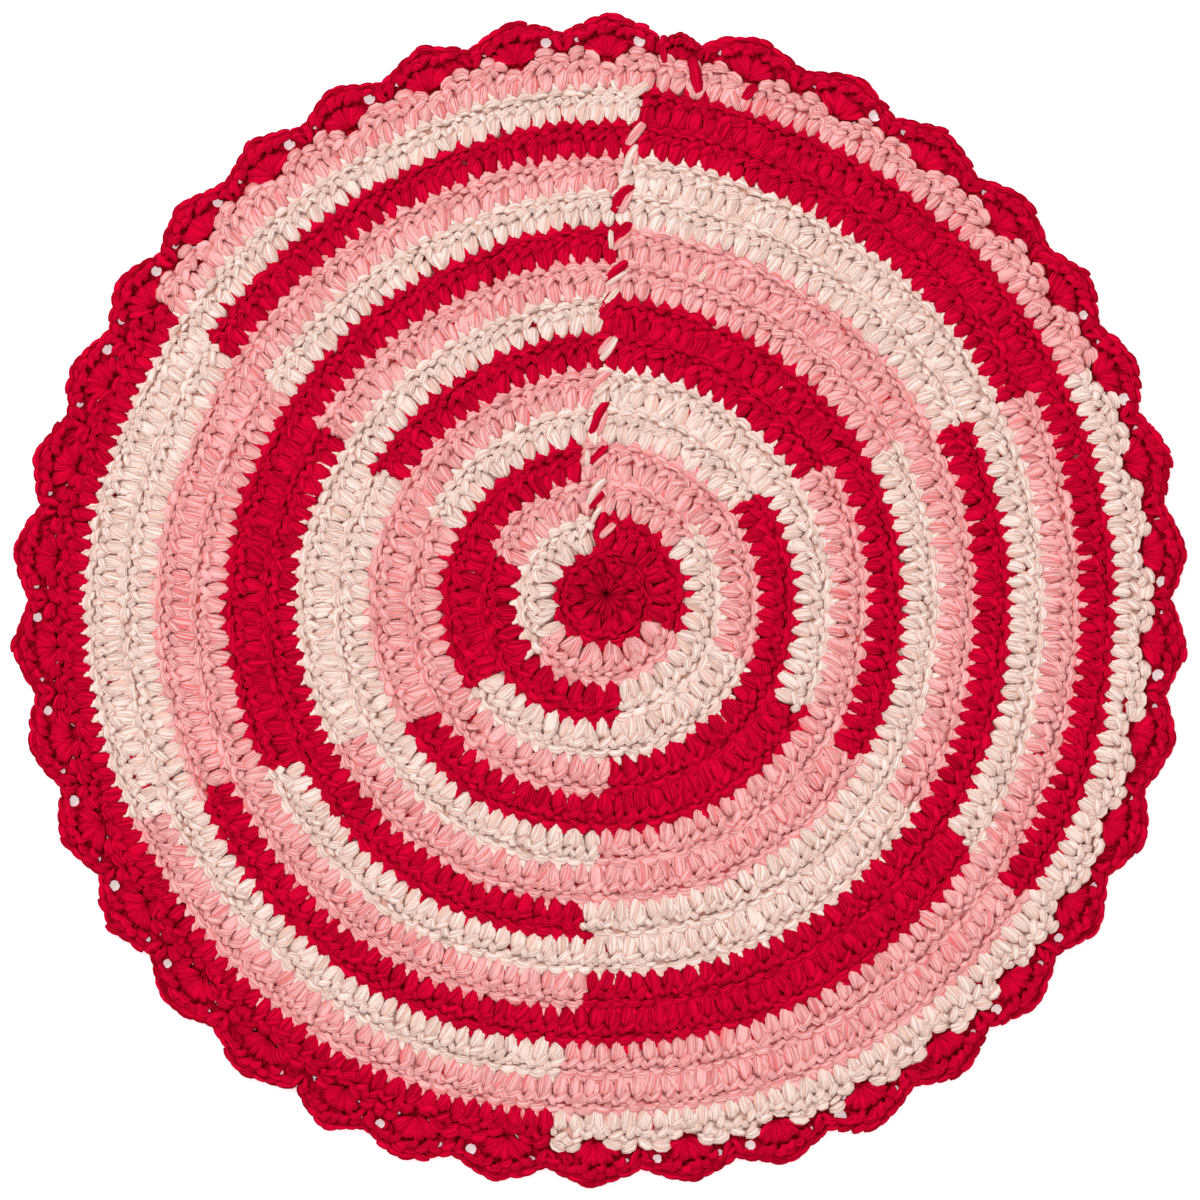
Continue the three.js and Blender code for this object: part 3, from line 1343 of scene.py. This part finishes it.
@dataclass
class ScallopEdging:
    """The red edging, worked into the last round.

    Each scallop is a fan of tall stitches from one spot, a curl on each, and a chain of two strands
    along the outline. A short stitch between two scallops opens into the arms that carry them, and
    a small hole stays open at each side of a fan.

    Attributes:
        lay: How the mat lies.
        rim: Where the scallops sit.
        pitch: Width of a full scallop.
        fan_base: Where the fan starts: along the round from the tip, and its radius.
        fan_spread: Degrees between its outer stitches.
        fan_reach: Length of its strands: at its left side, in its middle, at its right side.
        fan_start: How far from the base a strand starts.
        fan_bend: Share of its length where it bends.
        fan_bow: How far the two strands of a stitch bow to each side.
        fan_bows: How much of that they do at their start, bend and end.
        curl_droop: How much the row of curls falls off to both sides.
        curl_stagger: How far each even and each odd curl lies out of the row.
        inner_reach: Place up to which the inner strands lie deep under the outline.
        chain_step: How far to each side the slope of the outline is measured, as a place.
        chain_slope: How much of that slope a strand takes up.
        chain_turns: How much more a strand turns before the tip and after it, in degrees.
        chain_sags: How far its start, bend and end lie out of the line.
        under: Height on the underside of a strand that lies at 0 in front, and how much lower it
            lies for each millimetre that it is higher in front.
        painted_light: Painted light that makes the front of the edging brighter.
        wide_hole: Place, radius, half width as a share of the scallop, and half height.
        small_hole: The same for the hole on the other side.
        wide_share: Share of the wide holes that haven't closed up.
        hole_sizes: Least and most size of a hole.
    """

    lay: Lay
    rim: Rim
    pitch: float = 31.0
    fan_base: tuple[float, float] = (-0.5, 175.3)
    fan_posts: int = 5
    fan_spread: float = 104.0
    fan_reach: tuple[float, float, float] = (9.3, 7.6, 8.4)
    fan_start: float = 0.4
    fan_bend: float = 0.6
    fan_bow: float = 0.9
    fan_bows: tuple[float, float, float] = (0.2, 1.4, 0.8)
    fan_heights: tuple[float, float, float] = (3.3, 5.9, 3.9)
    curls: int = 6
    curl_radius: float = 184.9
    curl_step: float = 3.1
    curl_shift: float = -0.7
    curl_droop: float = 0.03
    curl_stagger: tuple[float, float] = (-0.4, 0.5)
    chain_strands: int = 8
    outer_strand: ChainStrand = ChainStrand(0.7, (3.1, 2.9), 1.5, (1.7, 3.1, 1.8))
    inner_strand: ChainStrand = ChainStrand(3.0, (2.5, 2.1), 1.2, (2.9, 4.9, 3.1))
    inner_reach: float = 0.28
    arm_depth: float = 2.5
    chain_step: float = 0.02
    chain_slope: float = 0.85
    chain_turns: tuple[float, float] = (2.0, 9.0)
    chain_sags: tuple[float, float, float] = (-0.4, 0.6, -0.5)
    under: tuple[float, float] = (2.3, 0.3)
    painted_light: float = 0.5
    bed_low: float = 1.4
    bed_high: float = 2.7
    bed_steps: int = 18
    bed_rows: int = 8
    bed_overlap: float = 0.6
    bed_inset: float = 1.0
    bed_strands: tuple[float, float] = (1400.0, 4.0)
    wide_hole: tuple[float, float, float, float] = (0.32, 181.6, 0.06, 1.9)
    small_hole: tuple[float, float, float, float] = (-0.335, 182.2, 0.046, 1.4)
    wide_share: float = 0.75
    hole_sizes: tuple[float, float] = (0.8, 1.1)
    lowest: float = 0.05
    uneven: Unevenness = Unevenness(turn=9.0, size=0.06, slide=0.2)
    seed: int = 8
    post: Bead = Bead(path=(), width=(0.9, 1.65), height=1.25, points=(0.8, 0.5), strands=15)
    chain: Bead = Bead(
        path=(), width=(1.0, 1.0), height=1.35, points=(0.5, 0.5), sides=7, rings=6, strands=19
    )
    curl: Bead = Bead(
        path=((-1.3, -1.8, 3.6), (-1.2, 1.6, 6.2), (1.9, -0.2, 3.8)),
        width=(1.3, 1.45), height=1.35, points=(0.9, 0.5), sides=7, rings=6, strands=19,
    )
    arms: tuple[Bead, Bead] = tuple(
        Bead(
            path=path, width=(1.1, 1.5), height=1.35, points=(0.7, 0.5), sides=7, rings=6, strands=19
        )
        for path in (
            ((0.0, 178.2, 3.3), (-2.9, 180.2, 5.2), (-1.7, 184.0, 2.9)),
            ((0.0, 178.1, 3.3), (2.7, 180.0, 5.2), (2.3, 184.3, 2.9)),
        )
    )

    def build(self) -> tuple[bpy.types.Object, list[bpy.types.Object]]:
        """Builds the thin bed of the edging and its stitches.

        Returns:
            The bed, and the pieces on it.
        """
        dice = np.random.default_rng(self.seed)
        fan, anchor = self._fan(), [arm.moved(self.pitch / 2, 0.0) for arm in self.arms]
        pieces = []
        # The front pieces get painted light; the underside pieces get none.
        for name, beads, painted_light in (
            ("edging_fans", [*fan, *self._curls()], self.painted_light),
            ("edging_chains", [*self._chain(), *anchor], self.painted_light),
            ("edging_backs", [self._under(bead) for bead in (*fan, *anchor)], 0.0),
        ):
            heap = Heap(name, Yarn.RED, painted_light)
            for bead in beads:
                self._spread(heap, bead, dice)
            pieces.append(heap)
        return self._bed(), [heap.build() for heap in pieces]

    def _fan(self) -> list[Bead]:
        """Bends the tall stitches, which spread from one spot.

        Returns:
            Two strands for each of them, which bow apart.
        """
        beads = []
        left, middle, right = self.fan_reach
        for index in range(2 * self.fan_posts):
            post, strand = divmod(index, 2)
            side = 2 * post / (self.fan_posts - 1) - 1
            bow = self.fan_bow if strand else -self.fan_bow
            angle = math.radians(side * self.fan_spread / 2)
            across, out = math.cos(angle), math.sin(angle)
            reach = middle + ((left if side < 0 else right) - middle) * side * side
            steps = (self.fan_start, self.fan_bend * reach, reach)
            path = tuple(
                (
                    self.fan_base[0] + out * step + across * (share * bow),
                    self.fan_base[1] + across * step - out * (share * bow),
                    height,
                )
                for step, share, height in zip(steps, self.fan_bows, self.fan_heights)
            )
            beads.append(replace(self.post, path=path))
        return beads

    def _curls(self) -> list[Bead]:
        """Places the rounded curls over the outer ends of the tall stitches.

        Returns:
            The curls from left to right.
        """
        beads = []
        for index in range(self.curls):
            along = (index - (self.curls - 1) / 2) * self.curl_step + self.curl_shift
            radius = self.curl_radius - self.curl_droop * along * along
            beads.append(self.curl.moved(along, radius + self.curl_stagger[index % 2]))
        return beads

    def _chain(self) -> list[Bead]:
        """Lays the chain along the outline, which steps down on the clockwise side.

        Returns:
            Its strands, each outer one before the inner one beside it.
        """
        beads = []
        arm = replace(self.inner_strand, depth=self.arm_depth)
        for index in range(self.chain_strands):
            place = (index + 0.5) / self.chain_strands - 0.5
            inner = self.inner_strand if abs(place) < self.inner_reach else arm
            beads += [self._strand(place, self.outer_strand), self._strand(place, inner)]
        return beads

    def _strand(self, place: float, kind: ChainStrand) -> Bead:
        """One strand of the chain.

        Args:
            place: Place of its middle in the scallop.
            kind: Its depth and size.

        Returns:
            The strand.
        """
        near = (max(place - self.chain_step, -0.5), place, min(place + self.chain_step, 0.5))
        before, radius, after = (float(self.rim.outline(np.array(spot), 1.0)) for spot in near)
        slope = math.atan2(after - before, 2 * self.chain_step * self.pitch)
        slope = slope * self.chain_slope + math.radians(self.chain_turns[place > 0])
        along, out = math.cos(slope), math.sin(slope)
        reaches = (-kind.reach[0], 0.0, kind.reach[1])
        path = tuple(
            (place * self.pitch + along * reach, radius - kind.depth + out * reach + sag, height)
            for reach, sag, height in zip(reaches, self.chain_sags, kind.heights)
        )
        return replace(self.chain, path=path, width=(kind.width, kind.width))

    def _under(self, bead: Bead) -> Bead:
        """Turns a strand of the front into the one that the underside shows.

        Args:
            bead: The strand.

        Returns:
            The same strand, low down and plainer.
        """
        top, fall = self.under
        low = tuple((along, out, top - fall * height) for along, out, height in bead.path)
        return replace(bead, path=low, height=0.85, sides=6, rings=4)

    def _spread(self, heap: Heap, bead: Bead, dice: np.random.Generator) -> None:
        """Lays one strand or curl in every scallop.

        Args:
            heap: Heap that it joins.
            bead: The strand, drawn for a full scallop.
            dice: Seeded source of unevenness.
        """
        shape = bead.shape()
        middles, widths, rises = self.rim.table[:, :, None]
        turn, grow, lift, slide, tone = self.uneven.drawn(dice, len(middles))
        turn = np.radians(turn)
        centre = np.mean(shape.points, axis=0)
        aside, outward = (shape.points[None, :, axis] - centre[axis] for axis in range(2))
        around = centre[0] + (aside * np.cos(turn) - outward * np.sin(turn)) * grow
        radius = centre[1] + (aside * np.sin(turn) + outward * np.cos(turn)) * grow + slide
        seam = self.rim.seam_radius
        share = (self.rim.outline(np.zeros(1), rises) - seam) / (TIP_RADIUS - seam)
        height = np.maximum(shape.points[None, :, 2] + lift, self.lowest)
        direction = middles + around / self.pitch * widths
        heap.add(shape, self.lay.place(direction, seam + (radius - seam) * share, height), tone)

    def _bed(self) -> bpy.types.Object:
        """Makes the thin red bed, with the small holes left open.

        Returns:
            The finished bed.
        """
        work = bmesh.new()
        layer = work.loops.layers.uv.new("yarn")
        steps = self.bed_steps * len(self.rim.scallops)
        bmesh.ops.create_grid(work, x_segments=steps, y_segments=self.bed_rows, size=0.5, calc_uvs=True)
        spots = {vert: self._bed_spot(vert.co) for vert in work.verts}
        for hole in self._holes():
            open_faces = [
                face for face in work.faces
                if math.hypot(*hole.apart(self._middle([spots[vert] for vert in face.verts]))) < 1.0
            ]
            edge = {vert for face in open_faces for vert in face.verts}
            bmesh.ops.delete(work, geom=open_faces, context="FACES")
            for vert in edge:
                if vert.is_valid:
                    spots[vert] = hole.snap(spots[vert])
        for vert in work.verts:
            direction, radius = (np.array(value) for value in spots[vert])
            vert.co = Vector(self.lay.place(direction, radius, np.array(self.bed_high)))
        bmesh.ops.remove_doubles(work, verts=work.verts, dist=TINY)
        bmesh.ops.recalc_face_normals(work, faces=work.faces)
        if sum(face.normal.z for face in work.faces) < 0:
            bmesh.ops.reverse_faces(work, faces=work.faces)
        thickness = (self.bed_high - self.bed_low) * MM
        bmesh.ops.solidify(work, geom=work.faces[:], thickness=thickness)
        bmesh.ops.recalc_face_normals(work, faces=work.faces)
        # The bed's tone is the edging's painted light.
        tone = work.verts.layers.float.new("tone")
        for vert in work.verts:
            vert[tone] = self.painted_light
        along, out = self.bed_strands
        for face in work.faces:
            for loop in face.loops:
                loop[layer].uv = (loop[layer].uv.x * along, loop[layer].uv.y * out)
        return finished("edging_bed", work, [FINISHES[Yarn.RED].material()])

    def _bed_spot(self, corner: Vector) -> tuple[float, float]:
        """Finds the spot of one corner of the flat grid that the bed is made from.

        Args:
            corner: The corner, from -0.5 to 0.5 both ways.

        Returns:
            Direction and radius of the spot.
        """
        direction = self.rim.first + (corner.x + 0.5) * FULL_TURN
        place, rise = self.rim.place(np.array(direction))
        inner = self.rim.seam_radius + self.rim.shift(np.array(direction)) - self.bed_overlap
        outer = self.rim.outline(place, rise) - self.bed_inset
        return direction, float(inner + (outer - inner) * (corner.y + 0.5))

    def _holes(self) -> list[Hole]:
        """Places the small holes. Some of the wide ones have closed up.

        Returns:
            The holes that are open.
        """
        dice = np.random.default_rng(self.seed + 1)
        holes = []
        for scallop in self.rim.scallops:
            chosen = [self.small_hole, self.wide_hole]
            if dice.random() > self.wide_share:
                chosen.pop()
            if scallop.rise < 1.0:
                continue
            for place, radius, half, high in chosen:
                size = dice.uniform(*self.hole_sizes)
                middle = scallop.middle + place * scallop.width
                holes.append(Hole(middle, radius, half * scallop.width * size, high * size))
        return holes

    @staticmethod
    def _middle(spots: list[tuple[float, float]]) -> tuple[float, float]:
        """Middle of some spots."""
        directions, radii = zip(*spots)
        return sum(directions) / len(spots), sum(radii) / len(spots)


@dataclass
class Stage:
    """Pale floor, soft studio light and the camera straight above the mat.

    Attributes:
        photo_side: Side of the photo in its pixels.
        photo_scale: Millimetres for each of them.
        camera_height: Height of the camera in metres.
        sensor: Width of its sensor.
        floor_reach: Half the side of the floor in metres.
        lights: Name, place in metres, side in metres and power in watts of each light.
    """

    photo_side: float = 1200.0
    photo_scale: float = 0.3237
    camera_height: float = 2.2
    sensor: float = 36.0
    world_light: float = 0.76
    floor_reach: float = 3.0
    floor_grey: float = 0.93
    floor_roughness: float = 0.9
    floor_glow: float = 0.4
    lights: tuple[tuple[str, tuple[float, float, float], float, float], ...] = (
        ("key", (-0.7, 0.9, 1.55), 0.9, 16.5),
        ("fill", (0.9, -0.7, 1.6), 1.6, 5.5),
    )

    def build(self) -> None:
        """Builds the floor, the lights and the camera."""
        scene = bpy.context.scene
        scene.view_settings.view_transform = "Standard"
        data = bpy.data.cameras.new("camera")
        data.sensor_width = self.sensor
        data.lens = self.sensor * self.camera_height / (self.photo_side * self.photo_scale * MM)
        scene.camera = placed("camera", data)
        scene.camera.location = (0.0, 0.0, self.camera_height)
        self._floor()
        for light in self.lights:
            self._light(*light)
        scene.world = bpy.data.worlds.new("studio")
        scene.world.use_nodes = True
        Graph(scene.world.node_tree).feed(
            scene.world.node_tree.nodes["Background"],
            {"Color": (1, 1, 1, 1), "Strength": self.world_light},
        )

    def _floor(self) -> None:
        """Builds the pale floor under the mat."""
        pale = bpy.data.materials.new("pale_floor")
        pale.use_nodes = True
        Graph(pale.node_tree).feed(pale.node_tree.nodes["Principled BSDF"], {
            "Base Color": (self.floor_grey, self.floor_grey, self.floor_grey, 1),
            "Roughness": self.floor_roughness,
            "Emission Color": (1, 1, 1, 1),
            "Emission Strength": self.floor_glow,
        })
        work = bmesh.new()
        bmesh.ops.create_grid(work, x_segments=1, y_segments=1, size=self.floor_reach)
        floor = finished("floor", work, [pale])

    def _light(self, name: str, place: tuple[float, float, float], size: float, power: float) -> None:
        """Adds one soft square light that faces the mat.

        Args:
            name: Name of the light.
            place: Its place in metres.
            size: Its side in metres.
            power: Its power in watts.
        """
        data = bpy.data.lights.new(name, "AREA")
        data.size = size
        data.energy = power
        light = placed(name, data)
        light.location = place
        light.rotation_euler = (-Vector(place)).to_track_quat("-Z", "Y").to_euler()


def report(pieces: Iterable[bpy.types.Object]) -> None:
    """Logs each piece with its faces."""
    for piece in pieces:
        LOG.info("%s has %d faces", piece.name, len(piece.data.polygons))


def main() -> None:
    """Builds the mat, its edging and the stage, and ties them to the frame."""
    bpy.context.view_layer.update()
    Stage().build()
    lay, rim = Lay(), Rim()
    low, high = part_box("scallop_edging")
    lay.settle(low, high, rim.tips())
    rounds = Rounds().rounds()
    ground = Ground(lay, rim, rounds).build()
    stitches = [
        *MatFront(lay, rim, rounds).build(),
        *MatBack(lay, rim, rounds).build(),
        *SeamFloats(lay).build(),
    ]
    bed, fans = ScallopEdging(lay, rim).build()
    for piece in [ground, *stitches]:
        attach(piece, "root")
        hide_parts("mat_body")
    for piece in [bed, *fans]:
        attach(piece, "root")
        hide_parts("scallop_edging")
    report([ground, *stitches, bed, *fans])


if __name__ == "__main__":
    logging.basicConfig(level=logging.INFO, format="%(message)s")
    main()
